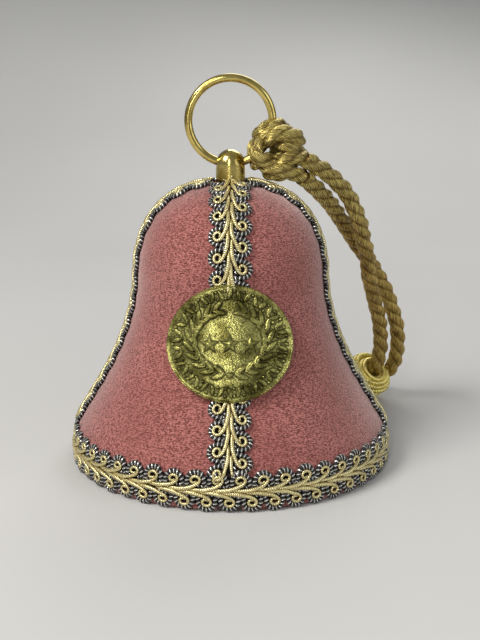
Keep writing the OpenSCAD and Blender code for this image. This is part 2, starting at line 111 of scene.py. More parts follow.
# %% An outline carried along a line
def frames_along(path, closed):
    """Tangents, and two directions across them, turned as little as possible from ring to ring."""
    ahead = np.roll(path, -1, 0) - np.roll(path, 1, 0)
    if not closed:
        ahead[0], ahead[-1] = path[1] - path[0], path[-1] - path[-2]
    ahead /= np.linalg.norm(ahead, axis=1)[:, None]
    side = np.zeros_like(path)
    start = np.cross(ahead[0], (0.31, 0.17, 0.93))
    side[0] = start / np.linalg.norm(start)
    for i in range(1, len(path)):
        s = side[i - 1] - ahead[i] * (side[i - 1] @ ahead[i])
        side[i] = s / np.linalg.norm(s)
    over = np.cross(ahead, side)
    if closed:  # spread what is left of the turn over the whole ring
        s = side[-1] - ahead[0] * (side[-1] @ ahead[0])
        left = math.atan2(s @ over[0], s @ side[0])
        a = -left * np.arange(len(path))[:, None] / len(path)
        side, over = side * np.cos(a) + over * np.sin(a), over * np.cos(a) - side * np.sin(a)
    return ahead, side, over


def tube(path, radius, sides=8, closed=False, v_unit=1.0, v_start=0.0):
    """Vertices, quads and UVs of a cord. radius is a number, one per ring, or a function of (way along,
    angle)."""
    path = np.asarray(path, float)
    ahead, side, over = frames_along(path, closed)
    run = runs(path) + v_start
    a = np.linspace(0, 2 * math.pi, sides, endpoint=False)
    n, m = len(path), sides
    if callable(radius):
        r = radius(run[:, None], a[None])
    else:
        r = np.broadcast_to(np.reshape(radius, (-1, 1)), (n, m))
    around = np.cos(a)[None, :, None] * side[:, None] + np.sin(a)[None, :, None] * over[:, None]
    ring = path[:, None] + r[..., None] * around
    i, k = np.meshgrid(np.arange(n if closed else n - 1), np.arange(m), indexing="ij")
    i_next, k_next = (i + 1) % n, (k + 1) % m
    quads = np.stack([i * m + k, i * m + k_next, i_next * m + k_next, i_next * m + k], -1).reshape(-1, 4)
    v = np.r_[run, run[-1] + np.linalg.norm(path[0] - path[-1])] / v_unit
    corners = ((k, i), (k + 1, i), (k + 1, i + 1), (k, i + 1))
    uv = np.stack([np.stack([kk / m, v[ii]], -1) for kk, ii in corners], 2).reshape(-1, 2)
    faces = quads.tolist()
    if not closed:  # the two cut ends
        faces += [list(range(m))[::-1], [(n - 1) * m + q for q in range(m)]]
        uv = np.vstack([uv, np.full((m, 2), (0.5, v[0])), np.full((m, 2), (0.5, v[-2]))])
    return ring.reshape(-1, 3), faces, uv


# %% Several such shapes as one piece
def grid_quads(rows, columns):
    """The faces of a grid of points that is stored row by row."""
    i, k = np.meshgrid(np.arange(rows - 1) * columns, np.arange(columns - 1), indexing="ij")
    return np.stack([i + k, i + k + 1, i + columns + k + 1, i + columns + k], -1).reshape(-1, 4)


def deselect():
    for o in bpy.context.selected_objects:
        o.select_set(False)


def choose(obj):
    deselect()
    obj.select_set(True)
    bpy.context.view_layer.objects.active = obj


def join_body(obj, body, node=None):
    """Puts a piece on the CAD body it rides on, and hides the CAD node that it replaces."""
    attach(obj, body)
    if node:
        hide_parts(node)


def piece(name, parts, body, node=None):
    """One mesh object from (vertices in millimetres, faces, UVs) parts. It rides on its CAD body."""
    verts, faces, uvs, base = [], [], [], 0
    for v, f, uv in parts:
        verts.append(v)
        faces += [[q + base for q in face] for face in f]
        uvs.append(uv)
        base += len(v)
    mesh = bpy.data.meshes.new(name)
    mesh.from_pydata((np.vstack(verts) * MM).tolist(), [], faces)
    mesh.uv_layers.new(name="along").data.foreach_set("uv", np.vstack(uvs).astype(np.float32).ravel())
    mesh.validate()
    mesh.polygons.foreach_set("use_smooth", [True] * len(mesh.polygons))
    obj = bpy.data.objects.new(name, mesh)
    bpy.context.scene.collection.objects.link(obj)
    join_body(obj, body, node)
    print(f"{name}: {len(mesh.vertices)} points, {len(mesh.polygons)} faces")
    return obj


# %% [markdown]
# ## The two strands of cord
# The gold cord hangs at the right-hand side of the bell. It is a three-strand rope: its outline is three
# circles pressed into one another, and it winds once round in a lay of three diameters. Two lengths of it
# leave the knot at the ring, drape down beside the bell, change places once, and end in the bullion knot.
# Their points repeat the CAD routes.

# %% Routes of the strands, in millimetres
FRONT_ROUTE = [
    (22.2, 0, 94.5), (25, 2, 92.5), (29, 5, 90), (33, 8, 86.5), (37, 11, 82), (40, 14, 76.5),
    (42.5, 18, 70.5), (44, 22, 65), (46, 26, 59), (47, 30.5, 52.5), (49, 35.5, 46),
    (51, 40.5, 39.5), (53, 44, 33), (54, 47, 27),
    (54.5, 49, 21.5), (54, 51, 16), (52.8, 52.5, 11.5)]
REAR_ROUTE = [
    (22.2, 1.5, 88.5), (25, 5, 86), (28.5, 9, 82.5), (32, 14, 78.5), (35.5, 20, 73.5), (39.5, 26, 67.5),
    (43.5, 32, 61.5), (48, 37, 55.5), (52, 41, 49), (55.5, 44, 42.5), (58, 46.5, 36), (60, 48.5, 30),
    (61, 50.5, 23), (61, 53, 17), (60, 55.5, 12), (57.5, 57.5, 8.5)]
CORD_D = 5.6


# %% A three-strand rope
def rope(points, d, step=0.55, closed=False):
    """The line of a rope, and a tube of three strands, pressed together, that wind once round in three
    diameters."""
    path = smooth(points, step, closed)
    lay = whole_repeats(path, 3.0 * d) if closed else 3.0 * d
    strand, offset = 0.3 * d, 0.2 * d

    def radius(s, a):
        off = (a + 2 * math.pi * s / lay + math.pi / 3) % (2 * math.pi / 3) - math.pi / 3
        return offset * np.cos(off) + np.sqrt(np.maximum(strand**2 - (offset * np.sin(off)) ** 2, 1e-6))

    return path, tube(path, radius, sides=36, closed=closed, v_unit=lay)


strands = []
for side, route in (("front", FRONT_ROUTE), ("rear", REAR_ROUTE)):
    line, shape = rope(route, CORD_D)
    strands.append((piece(f"cord_strand_{side}", [shape], "winding", f"cord_{side}"), line))
    print(side, "strand is", round(length_of(line), 1), "mm long")

# %% [markdown]
# ## Small helpers for materials
# A material here is the Principled shader with a few nodes in front of it. The helpers below only save
# typing. What several finishes share, such as blotches, fine lines and wound thread, is built once as a
# node group that puts out values, and each material places it with its own numbers.

# %% Node helpers
def rgb(r, g, b):
    """A colour given as it looks on screen, made linear for the shader."""
    return tuple(x / 12.92 if x <= 0.04045 else ((x + 0.055) / 1.055) ** 2.4 for x in (r, g, b)) + (1.0,)


def feed(tree, node, inputs):
    """Sets a node's inputs, by name or number, from numbers or from other nodes' outputs."""
    for key, value in inputs.items():
        if isinstance(value, bpy.types.NodeSocket):
            tree.links.new(value, node.inputs[key])
        else:
            node.inputs[key].default_value = value


def add_node(tree, kind, inputs=None, **settings):
    """A node with its settings and its inputs."""
    node = tree.nodes.new(kind)
    for key, value in settings.items():
        setattr(node, key, value)
    feed(tree, node, inputs or {})
    return node


def math_node(tree, operation, a, b=0.0, clamp=False):
    return add_node(tree, "ShaderNodeMath", {0: a, 1: b}, operation=operation, use_clamp=clamp).outputs[0]


def times(tree, a, b):
    return math_node(tree, "MULTIPLY", a, b)


def plus(tree, a, b):
    return math_node(tree, "ADD", a, b)


def mix_colour(tree, factor, a, b):
    return add_node(tree, "ShaderNodeMix", {0: factor, 6: a, 7: b}, data_type="RGBA").outputs[2]


def noise(tree, place, scale, detail, rough=0.5):
    return add_node(tree, "ShaderNodeTexNoise", {"Vector": place, "Scale": scale, "Detail": detail,
                                                 "Roughness": rough}).outputs["Fac"]


def on_object(tree):
    return add_node(tree, "ShaderNodeTexCoord").outputs["Object"]


def on_cord(tree):
    return add_node(tree, "ShaderNodeUVMap", uv_map="along").outputs[0]


def parts_of(tree, vector):
    return add_node(tree, "ShaderNodeSeparateXYZ", {0: vector}).outputs


def span(tree, value, low, high, out_low=0.0, out_high=1.0):
    """Carries a value from one range to another, smoothly, and no further."""
    node = add_node(tree, "ShaderNodeMapRange", {0: value, 1: low, 2: high, 3: out_low, 4: out_high},
                    interpolation_type="SMOOTHSTEP")
    return node.outputs[0]


def new_material(name, **shader):
    material = bpy.data.materials.new(name)
    material.use_nodes = True
    tree = material.node_tree
    bsdf = tree.nodes["Principled BSDF"]
    for key, value in shader.items():
        bsdf.inputs[key.replace("_", " ")].default_value = value
    return material, tree, bsdf


def bump(tree, bsdf, height, strength, distance):
    node = add_node(tree, "ShaderNodeBump", {"Strength": strength, "Distance": distance, "Height": height})
    tree.links.new(node.outputs[0], bsdf.inputs["Normal"])


def give(obj, material):
    obj.data.materials.clear()
    obj.data.materials.append(material)


def surface(tree, bsdf, colour, roughness=None):
    tree.links.new(colour, bsdf.inputs["Base Color"])
    if roughness:
        tree.links.new(roughness, bsdf.inputs["Roughness"])


def group_node(tree, group, **inputs):
    return add_node(tree, "ShaderNodeGroup", inputs, node_tree=group).outputs


def new_group(name, vector, inputs, outputs):
    """A node group with one vector input, inputs with their usual values, and outputs. All of these are
    numbers."""
    group = bpy.data.node_groups.new(name, "ShaderNodeTree")
    group.interface.new_socket(vector, in_out="INPUT", socket_type="NodeSocketVector")
    for label, value in inputs.items():
        group.interface.new_socket(label, in_out="INPUT", socket_type="NodeSocketFloat").default_value = value
    for label in outputs:
        group.interface.new_socket(label, in_out="OUTPUT", socket_type="NodeSocketFloat")
    return group, group.nodes.new("NodeGroupInput").outputs, group.nodes.new("NodeGroupOutput").inputs


# %% Shared effect: blotches, for tarnish, dust and uneven dye
blotch, gin, gout = new_group("blotches", "Vector",
                              {"Scale": 100.0, "Detail": 4.0, "Low": 0.35, "High": 0.65}, ["Mask"])
clouds = noise(blotch, gin["Vector"], gin["Scale"], gin["Detail"])
blotch.links.new(span(blotch, clouds, gin["Low"], gin["High"]), gout["Mask"])

# %% Shared effect: thread wound round a cord, from the cord's own UV map
wound, gin, gout = new_group("wound_thread", "UV", {"Starts": 1.0, "Turns": 1.0, "Share": 0.5, "Soft": 0.12},
                             ["Mask", "Height"])
axes = parts_of(wound, gin["UV"])
slant = math_node(wound, "SUBTRACT", times(wound, axes[1], gin["Turns"]),
                  times(wound, axes[0], gin["Starts"]))
from_middle = math_node(wound, "ABSOLUTE",
                        math_node(wound, "SUBTRACT", math_node(wound, "FRACT", slant), 0.5))
half = times(wound, gin["Share"], 0.5)
mask = span(wound, from_middle, plus(wound, half, gin["Soft"]),
            math_node(wound, "SUBTRACT", half, gin["Soft"]))
wound.links.new(mask, gout["Mask"])
wound.links.new(math_node(wound, "COSINE", times(wound, from_middle, math.pi)), gout["Height"])
print("node groups:", [g.name for g in bpy.data.node_groups])

# %% [markdown]
# ### Gold cord
# Each strand is a bundle of fine metal-wrapped yarns. They show as hair lines nearly along the rope, so the
# lines run on the cord's U, many to the round, a little wavy. The thread is partly metal and partly dull
# silk, which gives a satin gleam on the crowns of the strands. Painted shade puts a brown line in the
# grooves between strands and flattens the colour of the lower lengths, while the upper ones keep painted light.

# %% Gold cord material
YARNS, YARN_TURNS = 30.0, 9.0          # hair lines round the cord, and how many times they pass in one lay
PAINTED_LIGHT_ABOVE, PAINTED_SHADE_BELOW = 0.088, 0.055  # heights in metres: lower down the colour gets painted shade and the gloss is rougher, higher up painted light


def cord_material(name, light, dark, painted_shade_light, painted_shade_dark, metallic):
    material, tree, bsdf = new_material(name, Metallic=metallic, Specular_IOR_Level=0.6)
    uv, place = on_cord(tree), on_object(tree)
    lines = group_node(tree, wound, UV=uv, Starts=YARNS, Turns=YARN_TURNS, Share=0.5, Soft=0.24)
    painted_groove_shade = group_node(tree, wound, UV=uv, Starts=-3.0, Turns=3.0, Share=0.1, Soft=0.16)["Mask"]
    turned, way = parts_of(tree, uv)[:2]
    across = math_node(tree, "SUBTRACT", times(tree, way, YARN_TURNS), times(tree, turned, YARNS))
    yarn = add_node(tree, "ShaderNodeCombineXYZ", {0: across, 1: times(tree, way, 3.0)}).outputs[0]
    fibres = noise(tree, yarn, 1.3, 3.0, 0.6)
    patches = group_node(tree, blotch, Vector=place, Scale=190.0, Detail=3.0, Low=0.38, High=0.66)["Mask"]
    tone = plus(tree, times(tree, lines["Mask"], 0.45), times(tree, span(tree, fibres, 0.36, 0.62), 0.55))
    # painted shade: the colour darkens along the grooves between the strands
    tone = times(tree, tone, math_node(tree, "SUBTRACT", 1.0, times(tree, painted_groove_shade, 0.9)))
    # painted shade and light by height: the lower lengths get a flatter, browner colour and rougher gloss, the
    # upper ones keep the brighter colour
    painted_shade_mix = span(tree, parts_of(tree, place)[2], PAINTED_SHADE_BELOW, PAINTED_LIGHT_ABOVE, 0.5, 0.0)
    colour = mix_colour(tree, painted_shade_mix, mix_colour(tree, tone, dark, light),
                        mix_colour(tree, tone, painted_shade_dark, painted_shade_light))
    surface(tree, bsdf, mix_colour(tree, times(tree, patches, 0.35), colour, dark),
            plus(tree, span(tree, fibres, 0.3, 0.7, 0.2, 0.36), times(tree, painted_shade_mix, 0.3)))
    bump(tree, bsdf, plus(tree, lines["Height"], times(tree, fibres, 0.5)), 0.9, 0.00025)
    return material


gold_cord = cord_material("gold_cord", light=rgb(1.0, 0.92, 0.55), dark=rgb(0.34, 0.22, 0.06),
                          painted_shade_light=rgb(0.86, 0.71, 0.36), painted_shade_dark=rgb(0.44, 0.31, 0.10), metallic=0.75)
for obj, _ in strands:
    give(obj, gold_cord)

# %% [markdown]
# ## The shape of the bell
# Everything on the bell follows one outline: an upright lip, a flare, a waist and a round shoulder. These
# are the two curves that the CAD uses. Cloth and braid lie on it, so helpers give any point on it and the
# way outwards there, and seat flat braid on the curved wall as a sewer lays it.

# %% Outline of the bell, in millimetres, from the rim up to the crown
def bezier(p, t):
    p, t = np.array(p, float), np.asarray(t)[:, None]
    return (1 - t) ** 3 * p[0] + 3 * t * (1 - t) ** 2 * p[1] + 3 * t**2 * (1 - t) * p[2] + t**3 * p[3]


flare = bezier([(48.7, 11), (43.1, 21), (29.8, 38), (28.9, 58)], np.linspace(0, 1, 80))
shoulder = bezier([(28.9, 58), (28.5, 75), (19.94, 87), (0, 87)], np.linspace(0, 1, 80))
outline = np.vstack([[(49.5, 0)], [(49.1, 5.5)], flare, shoulder[1:]])
wall_run = runs(outline)
along_wall = np.gradient(outline, axis=0)
along_wall /= np.linalg.norm(along_wall, axis=1)[:, None]
outward = np.column_stack([along_wall[:, 1], -along_wall[:, 0]])


def on_wall(run):
    """Radius, height and outward direction at a distance up the wall from the rim."""
    out = [np.interp(run, wall_run, column) for column in (*outline.T, *outward.T)]
    size = np.hypot(out[2], out[3])
    return out[0], out[1], out[2] / size, out[3] / size


def nearest_on_wall(r, z):
    """Distance up the wall of the point of it nearest to (r, z)."""
    best = np.empty(len(r))
    for lot in np.array_split(np.arange(len(r)), max(1, len(r) // 20000)):
        d = (r[lot, None] - outline[:, 0]) ** 2 + (z[lot, None] - outline[:, 1]) ** 2
        i = d.argmin(1)
        t = (r[lot] - outline[i, 0]) * along_wall[i, 0] + (z[lot] - outline[i, 1]) * along_wall[i, 1]
        best[lot] = wall_run[i] + np.clip(t, -2, 2)
    return best


def seat_upright(flat, azimuth):
    """Carries flat braid, (across, down from the crown, out), onto the wall at an azimuth."""
    u, v, w = np.asarray(flat, float).T
    r, z, _, _ = on_wall(wall_run[-1] - v)
    rr, turn = np.hypot(r, u), azimuth + np.arctan2(u, np.maximum(r, 0.01))
    r, z, nr, nz = on_wall(nearest_on_wall(rr, z))
    return np.column_stack([(r + w * nr) * np.cos(turn), (r + w * nr) * np.sin(turn), z + w * nz])


def seat_round(flat, run_middle, radius):
    """Carries flat braid, (across, along, out), round the bell like a hem. Across is up the wall, negative
    upwards."""
    u, v, w = np.asarray(flat, float).T
    r, z, nr, nz = on_wall(run_middle - u)
    turn = v / radius + math.pi / 2
    return np.column_stack([(r + w * nr) * np.cos(turn), (r + w * nr) * np.sin(turn), z + w * nz])


# %% [markdown]
# ## Velvet
# Four gores of short-pile velvet are stretched over the shell and glued down. Their edges tuck under the
# braid. Each gore is a sheet of mesh laid on the outline, finer than the eye needs, then given the cloth's
# thickness inwards with a Solidify modifier. The pile is far too short to model as hair: Principled sheen
# makes its pale bloom at the edges.

# %% Velvet material
PILE_ROWS = 185                # woven rows from the rim to the crown
velvet, tree, bsdf = new_material("rose_velvet", Roughness=0.92, Specular_IOR_Level=0.12, Sheen_Weight=1.0,
                                  Sheen_Roughness=0.4, Sheen_Tint=(1.0, 0.8, 0.77, 1.0))
place = on_object(tree)
nap = group_node(tree, blotch, Vector=place, Scale=55.0, Detail=3.0, Low=0.35, High=0.68)["Mask"]
stretched = add_node(tree, "ShaderNodeMapping", {"Vector": place, "Scale": (1.0, 1.0, 1.5)}).outputs[0]
tufts = noise(tree, stretched, 1500.0, 2.0, 0.6)
wobble = noise(tree, place, 260.0, 2.0)
up_wall = times(tree, parts_of(tree, on_cord(tree))[1], 2 * math.pi * PILE_ROWS)
rows = math_node(tree, "SINE", plus(tree, up_wall, times(tree, wobble, 5.0)))
pile = plus(tree, times(tree, span(tree, tufts, 0.38, 0.62), 0.75),
            times(tree, math_node(tree, "MULTIPLY_ADD", rows, 0.5), 0.25))
colour = mix_colour(tree, pile, rgb(0.355, 0.165, 0.155), rgb(0.73, 0.47, 0.44))
surface(tree, bsdf, mix_colour(tree, times(tree, nap, 0.3), colour, rgb(0.49, 0.27, 0.25)))
bump(tree, bsdf, pile, 0.45, 0.00018)


# %% Four velvet gores
# how far a gore's side is from the middle of its braid, and its top from the crown
TUCK, CROWN_GAP = 3.6, 5.2
CLOTH = 0.75


def gore(number):
    """A sheet over a quarter of the wall, from under one upright braid to under the next."""
    up, across = 150, 70
    run = np.linspace(0.6, wall_run[-1] - CROWN_GAP, up)
    r, z = on_wall(run)[:2]
    edge = np.arcsin(np.clip(TUCK / r, 0, 0.7))
    share = np.linspace(0, 1, across)
    turn = (number - 1) * math.pi / 2 + edge[:, None] + (math.pi / 2 - 2 * edge[:, None]) * share
    points = np.stack([r[:, None] * np.cos(turn), r[:, None] * np.sin(turn),
                       np.broadcast_to(z[:, None], turn.shape)], -1)
    quads = grid_quads(up, across)
    uv = np.stack(np.broadcast_arrays(share, run[:, None] / wall_run[-1]), -1).reshape(-1, 2)
    obj = piece(f"velvet_{number}", [(points.reshape(-1, 3), quads.tolist(), uv[quads.ravel()])], "bell",
                f"velvet_gore_{number}")
    thick = obj.modifiers.new("cloth", "SOLIDIFY")
    thick.thickness, thick.offset = CLOTH * MM, -1
    choose(obj)
    bpy.ops.object.modifier_apply(modifier="cloth")
    give(obj, velvet)


for number in (1, 2, 3, 4):
    gore(number)

# %% [markdown]
# ## Braid
# One braid trims the whole bell: four upright strips and a hem. Black cord wound with silver runs down each
# edge in scallops, a gold cord curls into an eye inside each scallop, and its tail lies along the middle
# like an ear of wheat. The lines of one repeat are drawn flat, in millimetres (across, along, out). Then
# they are copied down the strip, each a little different as hand-guided work is, and the finished flat
# braid is seated on the wall.

# %% One repeat of the braid
PITCH = 6.4
EDGE_LINE = [(1.3, 0.0, 0.55), (2.1, 0.62, 0.75), (3.4, 0.72, 0.85), (4.75, 1.15, 0.8), (5.55, 2.2, 0.7),
             (5.75, 3.3, 0.65), (5.4, 4.4, 0.7), (4.5, 5.25, 0.8), (3.3, 5.6, 0.85), (2.1, 5.72, 0.7)]
INNER_LINE = [(1.9, 0.0, 0.5), (1.35, 1.6, 0.6), (1.9, 3.2, 0.5), (1.35, 4.8, 0.6)]
EYE_LINE = [(0.4, -5.6, 0.75), (0.45, -3.6, 1.0), (0.5, -1.8, 1.3), (0.85, 0.2, 1.5), (1.6, 2.3, 1.4),
            (2.55, 3.9, 1.2), (3.75, 4.35, 1.15), (4.55, 3.6, 1.15), (4.5, 2.6, 1.15), (3.75, 1.95, 1.2),
            (2.9, 2.15, 1.25), (2.7, 2.95, 1.2), (3.1, 3.45, 1.0)]
EYE_AT = (3.5, 3.2)            # the middle of the eye, about which it varies
SCALLOP = 4                    # edge points farther out than this swell with the scallop
CURL = 4                       # the eye line's points after this one are the curl, before it the tail
GOLD_THICK = ((0, 0.1, 0.3, 0.55, 0.9, 1), (0.32, 0.56, 0.6, 0.47, 0.4, 0.28))
WRAP = 1.1                     # length of one wrap of wire


def wrapped_radius(base, lift):
    """A cord's radius where wire is wound round it: raised once each wrap, and slanted as a single start
    winds."""
    def radius(s, a):
        wave = np.cos(2 * math.pi * (s / WRAP - a / (2 * math.pi)) - math.pi)
        return base * (1 + lift * np.clip(wave, -0.2, 1))
    return radius


def gold_eye(side, y0, stretch, narrow, rng):
    """One gold cord, from the end of its tail into its eye, leaning and sized a little by chance."""
    lean, size = rng.uniform(-0.12, 0.12), rng.uniform(0.93, 1.07)
    line = []
    for n, (u, v, w) in enumerate(EYE_LINE):
        du, dv = (u - EYE_AT[0]) * size, (v - EYE_AT[1]) * (size if n > CURL else 1)
        du, dv = du * math.cos(lean) - dv * math.sin(lean) * (n >= CURL), dv + du * math.sin(lean) * (n >= CURL)
        line.append((side * (EYE_AT[0] + du) * narrow, max(y0 + (EYE_AT[1] + dv) * stretch, -0.4), w))
    return smooth(line, 0.33)


def flat_braid(repeats, pitch, narrow, rng, cut_through):
    """(silver-wound black cords, gold cords) of a straight length of braid, flat, as lists of tubes.

    A length that is cut through at its foot keeps the tail of the eye that lay beyond the cut."""
    black, gold = [], []
    end, stretch = repeats * pitch, pitch / PITCH
    for side in (-1, 1):
        shift = 0.5 * (side < 0)
        edge, inner = [], []
        for i in range(-1, repeats + 1):
            y0, swell = (i + shift) * pitch, rng.uniform(0.95, 1.05)
            for line, out in ((EDGE_LINE, edge), (INNER_LINE, inner)):
                for u, v, w in line:
                    wide = side * u * narrow * (swell if u > SCALLOP else 1) + rng.uniform(-0.08, 0.08)
                    out.append((wide, y0 + v * stretch, w))
            if i < 0 or i + shift + 0.5 > repeats + 0.5 * cut_through:
                continue
            path = gold_eye(side, y0, stretch, narrow, rng)
            if i + shift == repeats:
                path = path[path[:, 1] < end - 0.2]
            thick = np.interp(np.linspace(0, 1, len(path)), *GOLD_THICK) * rng.uniform(0.95, 1.05)
            gold.append(tube(path, thick, sides=7, v_unit=0.55, v_start=rng.uniform(0, 9)))
        for out, base, sides in ((edge, 0.6, 8), (inner, 0.48, 6)):
            path = smooth(out, 0.2)
            path = path[(path[:, 1] > -0.3) & (path[:, 1] < end + 0.1)]
            black.append(tube(path, wrapped_radius(base, 0.26), sides=sides, v_unit=WRAP))
    return black, gold


def backing(repeats, pitch, half, rng):
    """The dark tape that the cords are sewn to, with a slightly uneven edge."""
    v = np.arange(0, repeats * pitch + 0.01, 0.8)
    u = np.linspace(-1, 1, 9)
    wide = half + rng.uniform(-0.15, 0.15, (len(v), 1))
    grid = np.stack(np.broadcast_arrays(u * wide, v[:, None], 0.22 - 0.12 * u**2), -1)
    quads = grid_quads(len(v), len(u))
    return [(grid.reshape(-1, 3), quads[:, ::-1].tolist(), np.zeros((len(quads) * 4, 2)))]


# %% Braid materials
def braid_material(name, base, wire, starts, share, base_metal, wire_metal, rough, depth):
    """Thread wound round a cord: the wire shows on the raised part of each wrap, and the base thread
    between."""
    material, tree, bsdf = new_material(name, Specular_IOR_Level=0.5)
    place = on_object(tree)
    wraps = group_node(tree, wound, UV=on_cord(tree), Starts=starts, Turns=1.0, Share=share, Soft=0.1)
    fine = noise(tree, place, 3000.0, 2.0)
    dull = group_node(tree, blotch, Vector=place, Scale=420.0, Detail=3.0, Low=0.38, High=0.7)["Mask"]
    cover = times(tree, wraps["Mask"], span(tree, dull, 0.0, 1.0, 1.0, 0.8))
    shade = tuple(0.62 * c for c in wire[:3]) + (1.0,)
    surface(tree, bsdf,
            mix_colour(tree, cover, base, mix_colour(tree, span(tree, fine, 0.35, 0.65), shade, wire)),
            span(tree, plus(tree, cover, times(tree, fine, 0.4)), 0, 1.3, 0.62, rough))
    tree.links.new(span(tree, cover, 0, 1, base_metal, wire_metal), bsdf.inputs["Metallic"])
    bump(tree, bsdf, plus(tree, wraps["Height"], times(tree, fine, 0.5)), 0.6, depth)
    return material


black_braid = braid_material("silver_wound_black", rgb(0.05, 0.045, 0.05), rgb(1.0, 0.99, 0.95), starts=1.0,
                             share=0.2, base_metal=0.0, wire_metal=0.8, rough=0.18, depth=0.00012)
gold_braid = braid_material("gold_wound", rgb(0.62, 0.49, 0.18), rgb(1.0, 0.97, 0.76), starts=2.0, share=0.66,
                            base_metal=0.5, wire_metal=0.75, rough=0.24, depth=0.00008)
tape, tree, bsdf = new_material("braid_tape", Roughness=0.85, Specular_IOR_Level=0.2)
weave = add_node(tree, "ShaderNodeTexVoronoi",
                 {"Vector": on_object(tree), "Scale": 1500.0}).outputs["Distance"]
colour = mix_colour(tree, span(tree, weave, 0.1, 0.7), rgb(0.16, 0.13, 0.12), rgb(0.05, 0.04, 0.05))
surface(tree, bsdf, colour)
bump(tree, bsdf, weave, 0.5, 0.0001)


# %% Seat the braid: four upright strips
STRIP_TOPS = {"front": 5.2, "right": 6.0, "back": 5.2, "left": 6.0}   # millimetres of wall from the crown
STRIP_FOOT = 10.6              # height where the hem covers the strips' ends
HEM_AT = 6.15                  # height of the hem's middle
TAPE_HALF = 4.3


def trim(name, carry, repeats, pitch, narrow, rng, node, cut_through=True):
    """One length of braid on the bell, as three pieces: tape, silver-wound black cord and gold cord."""
    black, gold = flat_braid(repeats, pitch, narrow, rng, cut_through)
    ground = backing(repeats, pitch, TAPE_HALF * narrow, rng)
    for part, tubes, material in (("tape", ground, tape), ("black_cord", black, black_braid),
                                  ("gold_cord", gold, gold_braid)):
        obj = piece(f"{name}_{part}", [(carry(v), f, uv) for v, f, uv in tubes], "bell",
                    node if part == "tape" else None)
        give(obj, material)


foot_run = np.interp(STRIP_FOOT, outline[:, 1], wall_run)
for k, (name, top) in enumerate(STRIP_TOPS.items()):
    azimuth = (k - 1) * math.pi / 2
    long = wall_run[-1] - foot_run - top
    repeats = round(long / PITCH)
    trim(f"braid_{name}", lambda flat: seat_upright(flat + (0, top, 0), azimuth), repeats, long / repeats,
         0.98, np.random.default_rng(20 + k), f"gimp_{name}")

# %% Seat the braid: the hem
hem_middle = float(np.interp(HEM_AT, outline[:, 1], wall_run))
hem_radius = float(np.interp(HEM_AT, outline[:, 1], outline[:, 0])) + 0.8
hem_long = 2 * math.pi * hem_radius
repeats = round(hem_long / PITCH)
trim("braid_hem", lambda flat: seat_round(flat, hem_middle, hem_radius), repeats, hem_long / repeats, 0.9,
     np.random.default_rng(31), "hem_gimp", cut_through=False)

# %% [markdown]
# ## The knot on the ring
# The cord is knotted round the wire of the ring, close to the knob, and drawn a little tighter than the
# strands. One length comes in along the upper strand, climbs behind, wraps over the wire, turns back on
# itself and leaves as the lower strand. A second closed turn makes the lobes at the left, at the right and
# underneath. Points are measured from the middle of the knob's cross hole.

# %% Rope of the knot
EYE = np.array((0.0, 0.0, 93.1))
KNOT_LINE = [
    (22.0, 0.1, 1.3), (19.6, -2.2, 1.9), (17.0, -3.0, 1.5), (14.6, -2.0, 0.9), (13.4, 0.8, 1.6),
    (14.0, 2.8, 3.4), (14.6, 3.6, 6.0), (15.8, 2.8, 8.8), (15.6, 0.4, 10.6), (12.6, -2.2, 11.0),
    (9.6, -2.3, 9.2), (8.8, 0.6, 7.6), (11.2, 3.0, 6.6), (15.6, 3.6, 6.6), (19.2, 2.6, 6.0),
    (20.6, 0.2, 6.4), (19.6, -2.6, 8.0), (16.6, -4.0, 9.1), (13.4, -4.2, 8.8), (10.4, -2.9, 7.2),
    (8.6, -0.4, 5.6), (7.6, 2.2, 3.8), (7.4, 2.4, 1.4), (7.8, 0.2, -0.2),
    (9.6, -2.6, -0.3), (12.6, -3.6, -1.2), (16.0, -2.9, -2.2), (19.2, -0.6, -3.4), (22.0, 1.5, -4.7)]
TURN_LINE = [
    (8.2, -3.8, 5.8), (7.3, -5.0, 3.6), (8.8, -5.2, 1.6), (11.4, -3.2, 0.8), (12.6, 0.2, -0.8),
    (11.6, 1.2, -2.7), (12.8, -0.2, -3.6), (15.6, 0.0, -3.4), (18.2, 2.2, -1.4), (19.6, 2.8, 1.8),
    (20.4, 1.0, 3.8), (19.0, -2.4, 4.4),
    (16.6, -3.2, 5.4), (14.2, -1.0, 6.6), (11.2, 0.0, 6.6)]
DRAWN_TIGHT = 4.9              # the cord's diameter where the knot squeezes it
turns = [rope(np.array(line) + EYE, DRAWN_TIGHT, step=0.45, closed=closed)[1]
         for line, closed in ((KNOT_LINE, False), (TURN_LINE, True))]
give(piece("cord_knot_rope", turns, "ring", "cord_knot"), gold_cord)

# %% [markdown]
# ## The bullion knot at the end
# Both strands end in a hollow ring-shaped knot of bullion, which is wire coiled into a fine, beaded tube.
# It is built of two courses of bands, three bullions side by side in each. The courses run round the knot
# nearly parallel and swell in turn, as bands that pass over and under do. Plain cores behind them close the
# gaps that stuffing closes.

# %% Bullion material
bullion_gold, tree, bsdf = new_material("bullion_gold", Metallic=0.7, Roughness=0.18)
coil = group_node(tree, wound, UV=on_cord(tree), Starts=1.0, Turns=4.0, Share=0.6, Soft=0.2)
worn = group_node(tree, blotch, Vector=on_object(tree), Scale=300.0, Detail=3.0, Low=0.4, High=0.7)["Mask"]
colour = mix_colour(tree, coil["Mask"], rgb(0.84, 0.71, 0.24), rgb(1.0, 0.97, 0.64))
surface(tree, bsdf, mix_colour(tree, times(tree, worn, 0.35), colour, rgb(0.70, 0.57, 0.20)))
bump(tree, bsdf, coil["Height"], 0.5, 0.00008)

